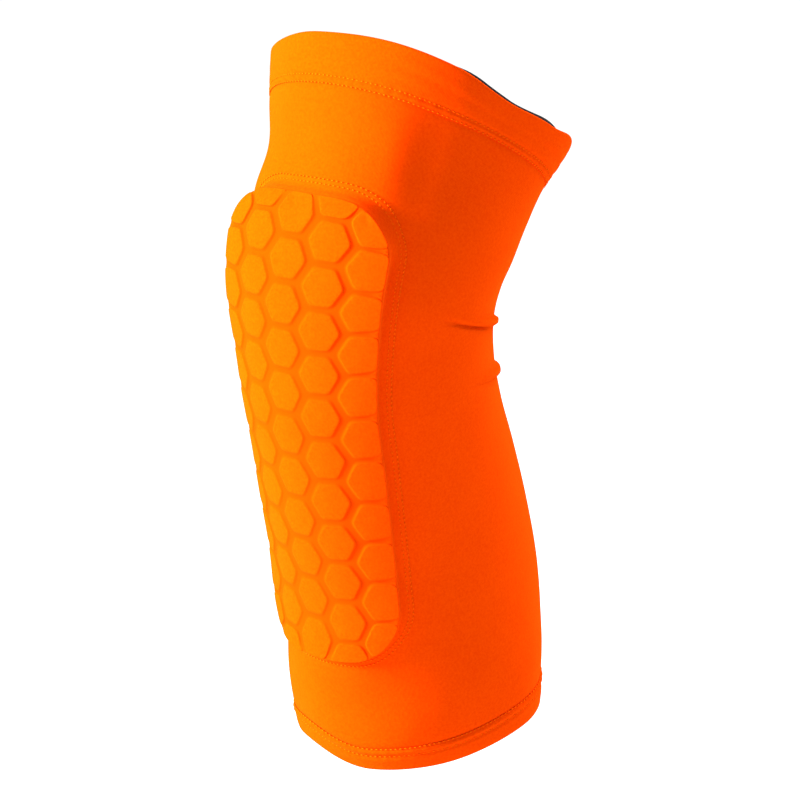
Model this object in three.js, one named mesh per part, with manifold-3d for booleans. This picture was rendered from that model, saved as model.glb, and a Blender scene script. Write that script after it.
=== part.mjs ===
// A long basketball knee pad, in the form it has on a bent knee: a knitted sleeve with two rolls of
// cloth behind the knee, folded hems at both ends, a grip strip inside the thigh hem, and a moulded
// honeycomb pad on the front. Millimetres, +Z up, the front of the knee towards -Y.
// The origin is the middle of the knee.

import * as THREE from "three";
import Module from "manifold-3d";

// Driving dimensions
const SIDES = 40;
const PIECE_GAP = 0.3;
const SLEEVE_WALL = 1.5;
const SLEEVE_ROW_STEP = 0.62;

const HEM = {
  wall: 2.6,
  proud: 0.3,
  thighHeight: 22,
  shinHeight: 12,
  edgeRound: 0.8,
};

const GRIP = {
  wall: 0.8,
  height: 8,
  belowRim: 2,
};

const PAD = {
  length: 221,
  halfWidth: 44,
  cornerRadius: 26,
  middle: 172,
  kneeHeight: 8,
  shinHeight: 6,
  grooveDepth: 2.5,
  gap: 0.7,
  footInset: -1.2,
  shoulderInset: 1,
  kneeSpread: 0.1,
  spreadFrom: -20,
  spreadTo: 100,
};

const CELL = {
  columns: 5,
  columnSpacing: 18.6,
  pitch: 20.1,
  flats: 17,
  corners: 20.6,
  edgeInset: 1.8,
  footGrow: 0.6,
  footSink: 0.8,
  shoulderShrink: 0.2,
  shoulderDrop: 0.9,
  topShrink: 1.3,
  crown: 0.2,
  smallestArea: 20,
};

// Sections across the leg, from the shin rim up to the thigh rim. Each row has its middle, its tilt
// in degrees, and its reach to the front, to the back and to each side.
const SECTIONS = [
  { y: 33, z: -224, tilt: -10, front: 55, back: 45, side: 51 },
  { y: 31, z: -211, tilt: -12, front: 62, back: 52, side: 56 },
  { y: 30, z: -188, tilt: -11, front: 66, back: 57, side: 57 },
  { y: 28, z: -158, tilt: -10, front: 67, back: 60, side: 54 },
  { y: 23, z: -128, tilt: -10, front: 67, back: 59, side: 51 },
  { y: 15, z: -98, tilt: -10, front: 66, back: 56, side: 50 },
  { y: 8, z: -74, tilt: -10, front: 63, back: 52, side: 50 },
  { y: 2, z: -51, tilt: -10, front: 61, back: 50, side: 51 },
  { y: -2, z: -30, tilt: -7, front: 58, back: 52, side: 53 },
  { y: -3, z: -10, tilt: 4, front: 56, back: 55, side: 57 },
  { y: 3, z: 10, tilt: 20, front: 56, back: 57, side: 60 },
  { y: 12, z: 28, tilt: 29, front: 59, back: 59, side: 61 },
  { y: 22, z: 45, tilt: 31, front: 66, back: 59, side: 64 },
  { y: 33, z: 61, tilt: 34, front: 75, back: 59, side: 70 },
];
const LAST_ROW = SECTIONS.length - 1;

// Rolls of cloth behind the knee, each with a crease below it, by a number of half rows. The row
// counts sections, and the roll grows from nothing to its full height between two angles from the front.
const CREASE_BELOW = 1.5;
const ROLLS = [
  { row: 6.62, halfRows: 0.14, out: 2.4, crease: 1.2, fromAngle: 95, fullAngle: 128 },
  { row: 7.7, halfRows: 0.14, out: 2.4, crease: 1.2, fromAngle: 76, fullAngle: 128 },
];

const FINISHES = {
  knit: { color: 0xf5790a, roughness: 0.85, metalness: 0 },
  foam: { color: 0xf88410, roughness: 0.75, metalness: 0 },
  grip: { color: 0x17171a, roughness: 0.6, metalness: 0 },
};

// The leg's surface

function smoothCurve(before, start, end, after, part) {
  const slope = end - before;
  const bend = 2 * before - 5 * start + 4 * end - after;
  const twist = 3 * start - before - 3 * end + after;
  return 0.5 * (2 * start + slope * part + bend * part ** 2 + twist * part ** 3);
}

function sectionAt(row) {
  const first = THREE.MathUtils.clamp(Math.floor(row), 0, LAST_ROW - 1);
  const section = {};
  for (const key of Object.keys(SECTIONS[0])) {
    const start = SECTIONS[first][key];
    const end = SECTIONS[first + 1][key];
    const before = first > 0 ? SECTIONS[first - 1][key] : 2 * start - end;
    const after = first + 2 <= LAST_ROW ? SECTIONS[first + 2][key] : 2 * end - start;
    section[key] = smoothCurve(before, start, end, after, row - first);
  }
  return section;
}

// A point on the leg, by section row, angle from the front and lift off the surface.
function legPoint(row, angle, lift) {
  const section = sectionAt(row);
  const depth = Math.cos(angle) > 0 ? section.front : section.back;
  const normal = new THREE.Vector2(Math.sin(angle) / section.side, -Math.cos(angle) / depth).normalize();
  const across = section.side * Math.sin(angle) + lift * normal.x;
  const along = -depth * Math.cos(angle) + lift * normal.y;
  const tilt = THREE.MathUtils.degToRad(section.tilt);
  return new THREE.Vector3(across, section.y + along * Math.cos(tilt), section.z - along * Math.sin(tilt));
}

// Lengths up the front of the leg from the shin rim, at a given lift.
function frontLine(lift) {
  const stepsPerRow = 40;
  const marks = [{ row: 0, length: 0 }];
  let last = legPoint(0, 0, lift);
  for (let step = 1; step <= LAST_ROW * stepsPerRow; step += 1) {
    const row = step / stepsPerRow;
    const next = legPoint(row, 0, lift);
    marks.push({ row, length: marks[step - 1].length + next.distanceTo(last) });
    last = next;
  }
  return marks;
}

function rowAlong(marks, length) {
  const found = marks.findIndex((mark) => mark.length >= length);
  const high = found < 0 ? marks.length - 1 : Math.max(found, 1);
  const start = marks[high - 1];
  const end = marks[high];
  return THREE.MathUtils.mapLinear(length, start.length, end.length, start.row, end.row);
}

// The angle reached by going a given length round the leg from its front line.
function angleAcross(row, across, lift) {
  const step = THREE.MathUtils.degToRad(1);
  const target = Math.abs(across);
  let angle = 0;
  let length = 0;
  let stride = 1;
  let last = legPoint(row, 0, lift);
  while (length < target) {
    angle += step;
    const next = legPoint(row, angle, lift);
    stride = next.distanceTo(last);
    length += stride;
    last = next;
  }
  const overshoot = ((length - target) / stride) * step;
  return Math.sign(across) * (angle - overshoot);
}

function hump(distance) {
  return Math.abs(distance) < 1 ? Math.cos((distance * Math.PI) / 2) ** 2 : 0;
}

function rollLift(row, angle) {
  const turn = THREE.MathUtils.radToDeg(Math.acos(Math.cos(angle)));
  let lift = 0;
  for (const roll of ROLLS) {
    const reach = THREE.MathUtils.smoothstep(turn, roll.fromAngle, roll.fullAngle);
    const bump = hump((row - roll.row) / roll.halfRows);
    const dent = hump((row - roll.row) / roll.halfRows + CREASE_BELOW);
    lift += reach * (roll.out * bump - roll.crease * dent);
  }
  return lift;
}

// Solids

function meshGeometry(points, triangles) {
  const geometry = new THREE.BufferGeometry().setFromPoints(points);
  geometry.setIndex(triangles);
  return geometry;
}

function quad(triangles, a, b, c, d) {
  triangles.push(a, b, c, a, c, d);
}

// A closed ring round the leg. Its profile goes up the outside and down the inside.
function ringGeometry(profile) {
  const points = [];
  const triangles = [];
  profile.forEach(({ row, lift }, ring) => {
    const nextRing = (ring + 1) % profile.length;
    for (let side = 0; side < SIDES; side += 1) {
      const angle = (2 * Math.PI * side) / SIDES;
      const nextSide = (side + 1) % SIDES;
      points.push(legPoint(row, angle, lift + rollLift(row, angle)));
      quad(
        triangles,
        ring * SIDES + side,
        ring * SIDES + nextSide,
        nextRing * SIDES + nextSide,
        nextRing * SIDES + side,
      );
    }
  });
  return meshGeometry(points, triangles);
}

const CLOTH_LINE = frontLine(0);
const FRONT_LENGTH = CLOTH_LINE[CLOTH_LINE.length - 1].length;
const SHIN_SEAM = HEM.shinHeight;
const THIGH_SEAM = FRONT_LENGTH - HEM.thighHeight;

function sleeveRows() {
  const first = rowAlong(CLOTH_LINE, SHIN_SEAM + PIECE_GAP / 2);
  const last = rowAlong(CLOTH_LINE, THIGH_SEAM - PIECE_GAP / 2);
  const rollSteps = [-2.5, -1.5, -1, -0.5, 0, 0.5, 1];
  const rollRows = ROLLS.flatMap((roll) => rollSteps.map((step) => roll.row + step * roll.halfRows));
  const nearRoll = (row) => rollRows.some((other) => Math.abs(other - row) < SLEEVE_ROW_STEP / 3);
  const rows = [first, last, ...rollRows];
  for (let row = Math.ceil(first / SLEEVE_ROW_STEP) * SLEEVE_ROW_STEP; row < last; row += SLEEVE_ROW_STEP) {
    const apart = Math.min(row - first, last - row) > SLEEVE_ROW_STEP / 4;
    if (apart && !nearRoll(row)) {
      rows.push(row);
    }
  }
  return rows.sort((a, b) => a - b);
}

function sleeve() {
  const rows = sleeveRows();
  const outside = rows.map((row) => ({ row, lift: 0 }));
  const inside = rows.toReversed().map((row) => ({ row, lift: -SLEEVE_WALL }));
  return ringGeometry([...outside, ...inside]);
}

// A folded hem between two lengths up the front, with its rim end rounded.
function hem(seam, rim) {
  const inwards = Math.sign(seam - rim) * HEM.edgeRound;
  const outer = HEM.proud;
  const inner = HEM.proud - HEM.wall;
  const middle = (seam + rim) / 2;
  const profile = [
    { length: seam, lift: outer },
    { length: middle, lift: outer },
    { length: rim + inwards, lift: outer },
    { length: rim, lift: outer - HEM.edgeRound },
    { length: rim, lift: inner + HEM.edgeRound },
    { length: rim + inwards, lift: inner },
    { length: middle, lift: inner },
    { length: seam, lift: inner },
  ];
  const upOutside = rim > seam ? profile : profile.toReversed();
  return ringGeometry(upOutside.map(({ length, lift }) => ({ row: rowAlong(CLOTH_LINE, length), lift })));
}

function gripStrip() {
  const outer = HEM.proud - HEM.wall - PIECE_GAP;
  const inner = outer - GRIP.wall;
  const high = rowAlong(CLOTH_LINE, FRONT_LENGTH - GRIP.belowRim);
  const low = rowAlong(CLOTH_LINE, FRONT_LENGTH - GRIP.belowRim - GRIP.height);
  return ringGeometry([
    { row: low, lift: outer },
    { row: high, lift: outer },
    { row: high, lift: inner },
    { row: low, lift: inner },
  ]);
}

// The honeycomb pad. Places on it are lengths across and along from its middle.

const PAD_LINE = frontLine(PAD.kneeHeight);

function padHeight(along) {
  return THREE.MathUtils.mapLinear(along, -PAD.length / 2, PAD.length / 2, PAD.shinHeight, PAD.kneeHeight);
}

function padPoint(across, along, lift) {
  const row = rowAlong(PAD_LINE, PAD.middle + along);
  const spread = 1 + PAD.kneeSpread * THREE.MathUtils.smoothstep(along, PAD.spreadFrom, PAD.spreadTo);
  const angle = angleAcross(row, across * spread, padHeight(along));
  return legPoint(row, angle, lift);
}

// Rows of the pad's rounded outline, from the shin end to the knee end.
function outlineRows(inset) {
  const cornerSteps = 4;
  const straightSteps = 14;
  const radius = PAD.cornerRadius - inset;
  const straight = PAD.length / 2 - inset - radius;
  const inner = PAD.halfWidth - inset - radius;
  const corner = [];
  for (let step = 0; step < cornerSteps; step += 1) {
    const angle = (Math.PI / 2) * (1 - step / cornerSteps);
    corner.push({ along: straight + radius * Math.sin(angle), halfWidth: inner + radius * Math.cos(angle) });
  }
  const rows = corner.map(({ along, halfWidth }) => ({ along: -along, halfWidth }));
  for (let step = 0; step <= straightSteps; step += 1) {
    const along = THREE.MathUtils.lerp(-straight, straight, step / straightSteps);
    rows.push({ along, halfWidth: inner + radius });
  }
  return [...rows, ...corner.toReversed()];
}

function padBase() {
  const columns = 10;
  const stride = columns + 1;
  const points = [];
  const triangles = [];
  const layers = [
    { rows: outlineRows(PAD.footInset), liftAt: () => PAD.gap },
    { rows: outlineRows(PAD.shoulderInset), liftAt: (along) => padHeight(along) - PAD.grooveDepth },
  ];
  for (const { rows, liftAt } of layers) {
    for (const { along, halfWidth } of rows) {
      for (let column = 0; column <= columns; column += 1) {
        const across = THREE.MathUtils.lerp(-halfWidth, halfWidth, column / columns);
        points.push(padPoint(across, along, liftAt(along)));
      }
    }
  }
  const layerSize = points.length / layers.length;
  const lastRow = layerSize / stride - 1;
  for (let row = 0; row < lastRow; row += 1) {
    for (let column = 0; column < columns; column += 1) {
      const low = row * stride + column;
      const high = low + stride;
      quad(triangles, low, high, high + 1, low + 1);
      quad(triangles, layerSize + low, layerSize + low + 1, layerSize + high + 1, layerSize + high);
    }
    const left = row * stride;
    const right = left + columns;
    quad(triangles, left, layerSize + left, layerSize + left + stride, left + stride);
    quad(triangles, right, right + stride, layerSize + right + stride, layerSize + right);
  }
  for (let column = 0; column < columns; column += 1) {
    const shin = column;
    const knee = lastRow * stride + column;
    quad(triangles, shin, shin + 1, layerSize + shin + 1, layerSize + shin);
    quad(triangles, knee, layerSize + knee, layerSize + knee + 1, knee + 1);
  }
  return meshGeometry(points, triangles);
}

// Cuts a polygon back to the inside of a convex outline that runs anticlockwise.
function clipPolygon(polygon, outline) {
  let kept = polygon;
  outline.forEach((start, index) => {
    const end = outline[(index + 1) % outline.length];
    const edge = end.clone().sub(start);
    const depth = (point) => edge.cross(point.clone().sub(start));
    const clipped = [];
    kept.forEach((point, at) => {
      const next = kept[(at + 1) % kept.length];
      const here = depth(point);
      const there = depth(next);
      if (here >= 0) {
        clipped.push(point);
      }
      if (here >= 0 !== there >= 0) {
        clipped.push(point.clone().lerp(next, here / (here - there)));
      }
    });
    kept = clipped;
  });
  return kept;
}

function cellPolygons() {
  const rows = outlineRows(CELL.edgeInset);
  const rightSide = rows.map(({ along, halfWidth }) => new THREE.Vector2(halfWidth, along));
  const leftSide = rows.toReversed().map(({ along, halfWidth }) => new THREE.Vector2(-halfWidth, along));
  const outline = [...rightSide, ...leftSide];
  const halfCorners = CELL.corners / 2;
  const halfFlats = CELL.flats / 2;
  const halfColumns = (CELL.columns - 1) / 2;
  const halfRows = Math.ceil(PAD.length / CELL.pitch / 2);
  const polygons = [];
  for (let column = -halfColumns; column <= halfColumns; column += 1) {
    const shift = Math.abs(column) % 2 === 1 ? CELL.pitch / 2 : 0;
    for (let row = -halfRows; row <= halfRows; row += 1) {
      const centre = new THREE.Vector2(column * CELL.columnSpacing, row * CELL.pitch + shift);
      const hexagon = [
        new THREE.Vector2(halfCorners, 0),
        new THREE.Vector2(halfCorners / 2, halfFlats),
        new THREE.Vector2(-halfCorners / 2, halfFlats),
        new THREE.Vector2(-halfCorners, 0),
        new THREE.Vector2(-halfCorners / 2, -halfFlats),
        new THREE.Vector2(halfCorners / 2, -halfFlats),
      ].map((corner) => corner.add(centre));
      const polygon = clipPolygon(hexagon, outline);
      if (polygon.length > 2 && THREE.ShapeUtils.area(polygon) > CELL.smallestArea) {
        polygons.push(polygon);
      }
    }
  }
  return polygons;
}

// One raised cell: a foot sunk in the base, a shoulder and a slightly crowned top.
function cellGeometry(polygon) {
  const sides = polygon.length;
  const centre = polygon.reduce((sum, corner) => sum.add(corner), new THREE.Vector2()).divideScalar(sides);
  const reach = CELL.flats / 2;
  const height = padHeight(centre.y);
  const loops = [
    { shrink: -CELL.footGrow, lift: height - PAD.grooveDepth - CELL.footSink },
    { shrink: CELL.shoulderShrink, lift: height - CELL.shoulderDrop },
    { shrink: CELL.topShrink, lift: height },
  ];
  const points = [];
  const triangles = [];
  loops.forEach(({ shrink, lift }, loop) => {
    polygon.forEach((corner, at) => {
      const place = corner.clone().lerp(centre, shrink / reach);
      const next = (at + 1) % sides;
      points.push(padPoint(place.x, place.y, lift));
      if (loop > 0) {
        const here = loop * sides;
        const below = here - sides;
        quad(triangles, below + at, below + next, here + next, here + at);
      }
    });
  });
  const foot = points.push(padPoint(centre.x, centre.y, loops[0].lift)) - 1;
  const top = points.push(padPoint(centre.x, centre.y, height + CELL.crown)) - 1;
  const topLoop = (loops.length - 1) * sides;
  for (let at = 0; at < sides; at += 1) {
    const next = (at + 1) % sides;
    triangles.push(foot, next, at);
    triangles.push(top, topLoop + at, topLoop + next);
  }
  return meshGeometry(points, triangles);
}

const wasm = await Module();
wasm.setup();

function solidOf(geometry) {
  const vertProperties = new Float32Array(geometry.getAttribute("position").array);
  const triVerts = new Uint32Array(geometry.getIndex().array);
  return new wasm.Manifold(new wasm.Mesh({ numProp: 3, vertProperties, triVerts }));
}

function honeycombPad() {
  const cells = cellPolygons().map((polygon) => solidOf(cellGeometry(polygon)));
  const joined = cells.reduce((solid, cell) => solid.add(cell), solidOf(padBase()));
  const mesh = joined.getMesh();
  const geometry = new THREE.BufferGeometry();
  geometry.setAttribute("position", new THREE.BufferAttribute(mesh.vertProperties, mesh.numProp));
  geometry.setIndex(new THREE.BufferAttribute(mesh.triVerts, 1));
  return geometry;
}

// The assembly

function piece(name, geometry, finish) {
  geometry.computeVertexNormals();
  const mesh = new THREE.Mesh(geometry, new THREE.MeshStandardMaterial(finish));
  mesh.name = name;
  return mesh;
}

const kneePad = new THREE.Group();
kneePad.name = "knee_pad";
kneePad.add(piece("sleeve", sleeve(), FINISHES.knit));
kneePad.add(piece("top_hem", hem(THIGH_SEAM + PIECE_GAP / 2, FRONT_LENGTH), FINISHES.knit));
kneePad.add(piece("bottom_hem", hem(SHIN_SEAM - PIECE_GAP / 2, 0), FINISHES.knit));
kneePad.add(piece("grip_strip", gripStrip(), FINISHES.grip));
kneePad.add(piece("honeycomb_pad", honeycombPad(), FINISHES.foam));

export default kneePad;
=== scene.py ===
"""A long basketball knee pad: a knitted sleeve bent at the knee, hems, a grip strip and a honeycomb pad."""

import math

import bmesh
import bpy
import numpy as np
from mathutils import Matrix, Vector


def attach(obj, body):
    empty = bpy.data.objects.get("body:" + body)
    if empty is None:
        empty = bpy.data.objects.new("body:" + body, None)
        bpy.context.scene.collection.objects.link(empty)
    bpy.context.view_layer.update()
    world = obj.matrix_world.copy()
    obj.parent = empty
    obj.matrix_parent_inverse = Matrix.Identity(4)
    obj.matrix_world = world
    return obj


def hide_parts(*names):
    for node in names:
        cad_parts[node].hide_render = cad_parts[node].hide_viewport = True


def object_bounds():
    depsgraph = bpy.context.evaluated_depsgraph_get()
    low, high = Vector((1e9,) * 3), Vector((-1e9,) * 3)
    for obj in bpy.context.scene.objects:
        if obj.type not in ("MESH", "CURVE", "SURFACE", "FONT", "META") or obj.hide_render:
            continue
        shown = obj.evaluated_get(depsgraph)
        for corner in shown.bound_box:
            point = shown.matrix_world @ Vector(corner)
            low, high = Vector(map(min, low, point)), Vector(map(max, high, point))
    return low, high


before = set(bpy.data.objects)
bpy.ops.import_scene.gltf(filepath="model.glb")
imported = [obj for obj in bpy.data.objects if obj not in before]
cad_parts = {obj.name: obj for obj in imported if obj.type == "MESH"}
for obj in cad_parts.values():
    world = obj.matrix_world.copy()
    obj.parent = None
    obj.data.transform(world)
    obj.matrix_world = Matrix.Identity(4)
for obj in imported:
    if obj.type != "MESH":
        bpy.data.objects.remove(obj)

bl_info = {
    "name": "Basketball knee pad",
    "version": (1, 0, 0),
    "blender": (4, 5, 0),
    "location": "View3D > Sidebar > Knee pad",
    "description": "Makes the cloth, hems, pad and stitches of a long knee pad on its packed solids",
    "category": "Add Mesh",
}

CAD_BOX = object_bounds()
MM = 0.001

# Sections across the sleeve, from the shin rim up to the thigh rim, in millimetres: the middle's y and z,
# the tilt in degrees, and the reach to the front, to the back and to each side.
SECTIONS = np.array([
    (33, -224, -10, 60, 49.5, 54.5),
    (31, -211, -12, 62, 52, 56),
    (30, -188, -11, 66, 57, 57),
    (28, -158, -10, 67, 60, 54),
    (23, -128, -10, 67, 59, 51),
    (15, -98, -10, 66, 56, 50),
    (8, -74, -10, 63, 52, 50),
    (2, -51, -10, 61, 50, 51),
    (-2, -30, -7, 58, 52, 53),
    (-3, -10, 4, 56, 55, 57),
    (3, 10, 20, 56, 57, 60),
    (12, 28, 29, 59, 59, 61),
    (22, 45, 31, 66, 59, 64),
    (33, 61, 34, 75, 59, 70),
], dtype=float)
LAST_ROW = len(SECTIONS) - 1

# Rolls of cloth behind the knee: the section row at the back, how far it climbs in rows towards the side,
# half its height in rows, how far it stands out, how deep the crease below it is, and the angles from the
# front where the roll and its crease start and where each is full.
ROLLS = (
    (6.68, 0.55, 0.11, 2.2 * MM, 0.4 * MM, (92, 122), (84, 98)),
    (7.83, 0.85, 0.12, 2.2 * MM, 1.6 * MM, (70, 118), (68, 86)),
)
# A roll climbs between two angles from the back, and a third one rounds its way across the back.
CLIMB = (52, 102)
ROUND_BACK = 24
# A crease's place below its roll and half its height, as shares of half the roll's height, and the angles
# from the front between which it closes again.
CREASE_BELOW = 1.1
CREASE_HALF = 0.45
CREASE_CLOSES = (97, 114)

# Waves of the thigh rim and of the shin rim: the angle from the front, half the width in degrees and the
# rise. The shin rim is lifted all round, and its waves fade over a length above its hem.
THIGH_WAVES = (
    (-160, 35, -1.0 * MM),
    (-105, 40, 1.2 * MM),
    (-38, 30, -1.6 * MM),
    (25, 35, 1.2 * MM),
    (68, 24, -2.8 * MM),
    (112, 24, 5.0 * MM),
    (142, 26, -2.0 * MM),
)
SHIN_WAVES = (
    (-20, 36, 6.0 * MM),
    (85, 40, 0.8 * MM),
)
SHIN_LIFT = 1.7 * MM
SHIN_FADE = 45 * MM

# Places where the cloth stands out or in: the length up the front and half the length, the angle from
# the front, the width to each side of it in degrees, and how far it stands out.
SWELLS = (
    (0 * MM, 45 * MM, 118, (55, 55), 2.2 * MM),
    (299 * MM, 23 * MM, -58, (40, 40), -2.0 * MM),
    (296 * MM, 48 * MM, 30, (48, 20), 3.4 * MM),
    (341 * MM, 24 * MM, 48, (50, 26), 2.4 * MM),
    (37 * MM, 23 * MM, 24, (50, 45), -2.8 * MM),
)

# The sleeve: its faces round and up, how much closer they lie near the rolls and how far from them, how far
# it goes under a hem and how steeply it sinks there.
SLEEVE_FACES = (168, 230)
ROLLS_ROW = 7.7
ROLLS_CLOSER = 2.4
ROLLS_REACH = 40 * MM
HEM_TUCK = 1.5 * MM
TUCK_SLOPE = 0.4

# A folded hem: its faces round, its steps along the outside, round the rim and along the inside, how far its
# outside swells, and the puckers and ripples of its cloth.
HEM_FACES = 264
OUTSIDE_STEPS = 34
RIM_STEPS = 9
INSIDE_STEPS = 14
HEM_BELLY = 0.15 * MM
PUCKERS = 72
PUCKER_DEPTH = 0.1 * MM
PUCKER_REACH = 4 * MM
RIPPLE_DEPTH = 0.2 * MM
RIPPLES_PER_METRE = 950

# The grip strip: its faces round and across, how square its edges are and how far it sinks into the hem.
GRIP_FACES = 176
GRIP_STEPS = 24
GRIP_SQUARENESS = 0.25
GRIP_SINK = 0.05 * MM

# Places where the grip strip rises over the thigh rim: the angle, half the width in degrees and the share.
GRIP_PEEKS = (
    (56, 27, 1.0),
    (72, 15, 0.45),
    (88, 20, 1.1),
)

# The foam's rise from the groove floor to the top of a cell: for each ring of faces a step inwards in
# millimetres and the share of the rise that it reaches.
CELL_STEPS = (
    (1.25, 0.0),
    (0.5, 0.15),
    (0.5, 0.55),
    (0.4, 0.88),
    (0.35, 0.98),
    (1.0, 1.0),
)

# The cover round the foam: how far out each ring lies in millimetres, its share of the foam's height at
# the sides and at the knee end, where the cover is stretched, and how far it lies above that.
MARGIN_RINGS = (
    (-0.5, 0.9, 0.86, 0.0),
    (-0.1, 0.5, 0.76, 0.3),
    (0.2, 0.1, 0.68, 0.6),
    (0.9, 0.0, 0.54, 0.6),
    (2.0, 0.0, 0.34, 0.42),
    (3.4, 0.0, 0.12, 0.38),
    (4.6, 0.0, 0.0, 0.18),
    (5.7, 0.0, 0.0, 0.4),
    (6.8, 0.0, 0.0, 0.16),
    (8.2, 0.0, 0.0, -0.25),
)

# Rows of stitches: their distance from each rim and from the foam's outline, how far they pull the cloth in
# and to what distance, the ridge between two rows, and the height of the thread on a hem and on the margin.
THIGH_ROWS = (22 * MM, 18.7 * MM)
SHIN_ROWS = (12 * MM, 8.2 * MM)
PAD_ROWS = (4.6 * MM, 6.8 * MM)
SEAM_DEPTH = 0.4 * MM
SEAM_HALF_WIDTH = 1.8 * MM
THIGH_RIDGE = 0.1 * MM
SHIN_RIDGE = 0.4 * MM
HEM_THREAD = 0.1 * MM
PAD_THREAD = 0.35 * MM

# The field of cells: how far it stays inside the outline, how far the back lies off the sleeve, the share of
# their depth that grooves keep at the edge and how far from it they are whole, the share of its gap that an
# edge cell keeps to the outline and from how far, how much a cell is stretched along the pad, where that
# fades near the edge, and the crown of a cell's top.
FOAM_INSET = 0.9 * MM
BACK_LIFT = 0.05 * MM
EDGE_GROOVE = 0.3
GROOVE_FADE = 3.5 * MM
EDGE_KEEP = 0.25
EDGE_REACH = 3 * MM
CELL_STRETCH = 0.1
STRETCH_FADE = (1 * MM, 5 * MM)
CELL_CROWN = 0.15 * MM

# The cut of the tiles: columns to each side of the middle one, cuts round the outline, the shortest and the
# usual edge, and for a cut tile the share of its reach that is used and the smallest share of a whole cell.
HALF_COLUMNS = 2
OUTLINE_CUTS = 32
SHORTEST_EDGE = 1.5 * MM
USUAL_EDGE = 4 * MM
REACH_USED = 0.9
SMALLEST_SHARE = 0.3

# The foam's form: the length over which its knee edge is rounded and the share of the round that it reaches,
# the lengths along the pad between which its sides rise, where the cover is stretched at the knee end, and
# the length of the lip over the shin and the share of the flatness that it loses.
KNEE_ROUND = 13 * MM
KNEE_ROUND_SHARE = 0.85
RISE_ALONG = (15 * MM, 90 * MM)
KNEE_END = (82 * MM, 106 * MM)
LIP_LENGTH = 20 * MM
LIP_SHARE = 0.85

# The pad's place: the share of its width at the shin, what is added to it between two lengths along the pad,
# and how far it has slid sideways below the knee, which ends between two lengths.
PAD_SPREAD = 0.995
SPREAD_STEPS = (
    (0.05, -85 * MM, -35 * MM),
    (0.033, 5 * MM, 60 * MM),
)
PAD_SLIDE = 2.4 * MM
SLIDE_ENDS = (20 * MM, 100 * MM)

# The stage: what the camera and the lights face, the camera's azimuth from the front towards +X,
# elevation, distance and lens, and each light's azimuth, elevation, distance, size and power.
TARGET = Vector((0.0187, -0.0083, -0.0612))
CAMERA_VIEW = (37.6, 16.4, 1.4)
CAMERA_LENS = 143.2
LIGHTS = {
    "key": (-43, 16, 1.6, 0.55, 111),
    "rim": (170, 45, 1.6, 1.0, 36),
    "top": (-60, 60, 1.6, 1.0, 14),
}
WORLD_STRENGTH = 0.5
FLOOR_GLOW = 0.84
FLOOR_DROP = 0.15
FLOOR_REACH = 30


def length_property(name, description, default):
    """A length that the sidebar shows in the scene's units."""
    return bpy.props.FloatProperty(
        name=name, description=description, default=default, precision=5, unit="LENGTH"
    )


def colour_property(name, description, default):
    """A linear colour."""
    return bpy.props.FloatVectorProperty(
        name=name, description=description, default=default, size=3, min=0, max=1, subtype="COLOR"
    )


class KneePadSizes(bpy.types.PropertyGroup):
    """Sizes of the knee pad's pieces."""

    sleeve_wall: length_property("Sleeve wall", "Thickness of the knitted sleeve", 1.5 * MM)
    sleeve_girth: length_property("Sleeve girth", "Length round the relaxed sleeve", 290 * MM)
    hem_wall: length_property("Hem wall", "Thickness of both layers of a folded hem", 2.6 * MM)
    hem_proud: length_property("Hem rise", "How far a hem stands out from the sleeve", 0.3 * MM)
    thigh_hem: length_property("Thigh hem", "Height of the folded hem at the thigh", 22 * MM)
    shin_hem: length_property("Shin hem", "Height of the folded hem at the shin", 12 * MM)
    grip_wall: length_property("Grip wall", "Thickness of the grip strip", 0.9 * MM)
    grip_height: length_property("Grip height", "Height of the grip strip", 8 * MM)
    grip_below_rim: length_property("Grip below rim", "Distance from the rim to the grip strip", 2 * MM)
    grip_peek: length_property("Grip peek", "How far the grip strip rises where it shows", 3.8 * MM)
    pad_length: length_property("Pad length", "Length of the foam along the sleeve", 221 * MM)
    pad_half_width: length_property("Pad half width", "Half the foam's width round the sleeve", 44 * MM)
    pad_corner: length_property("Pad corner", "Radius of the foam's corners", 26 * MM)
    pad_middle: length_property("Pad middle", "Length up the front to the pad's middle", 170 * MM)
    knee_height: length_property("Knee height", "Thickness of the foam at its knee end", 8 * MM)
    shin_height: length_property("Shin height", "Thickness of the foam at its shin end", 6 * MM)
    groove_depth: length_property("Groove depth", "Depth of the grooves between cells", 0.85 * MM)
    pad_flatness: length_property("Pad flatness", "How far the foam's sides resist the bend", 3.3 * MM)
    knee_rise: length_property("Knee rise", "How far the foam's sides rise at the knee", 2.6 * MM)
    shin_rise: length_property("Shin rise", "How far the foam's sides rise at the shin", 0.3 * MM)
    knee_taper: bpy.props.FloatProperty(
        name="Knee taper", description="Share of its thickness that the foam loses at its knee edge",
        default=0.55, min=0, max=0.8, subtype="FACTOR"
    )
    lip_tuck: length_property("Lip tuck", "How far the sewn margin goes under the foam at the shin", 3 * MM)
    column_spacing: length_property("Column spacing", "Distance between columns of cells", 18.3 * MM)
    cell_pitch: length_property("Cell pitch", "Distance between cells in a column", 20.1 * MM)
    stitch_pitch: length_property("Stitch pitch", "Distance between stitches in a row", 2.2 * MM)
    stitch_length: length_property("Stitch length", "Length of one stitch that shows", 1.3 * MM)
    thread_width: length_property("Thread width", "Thickness of the sewing thread", 0.55 * MM)
    wale_width: length_property("Wale width", "Width of one column of knitted loops", 0.85 * MM)
    course_height: length_property("Course height", "Height of one row of knitted loops", 0.7 * MM)


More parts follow.
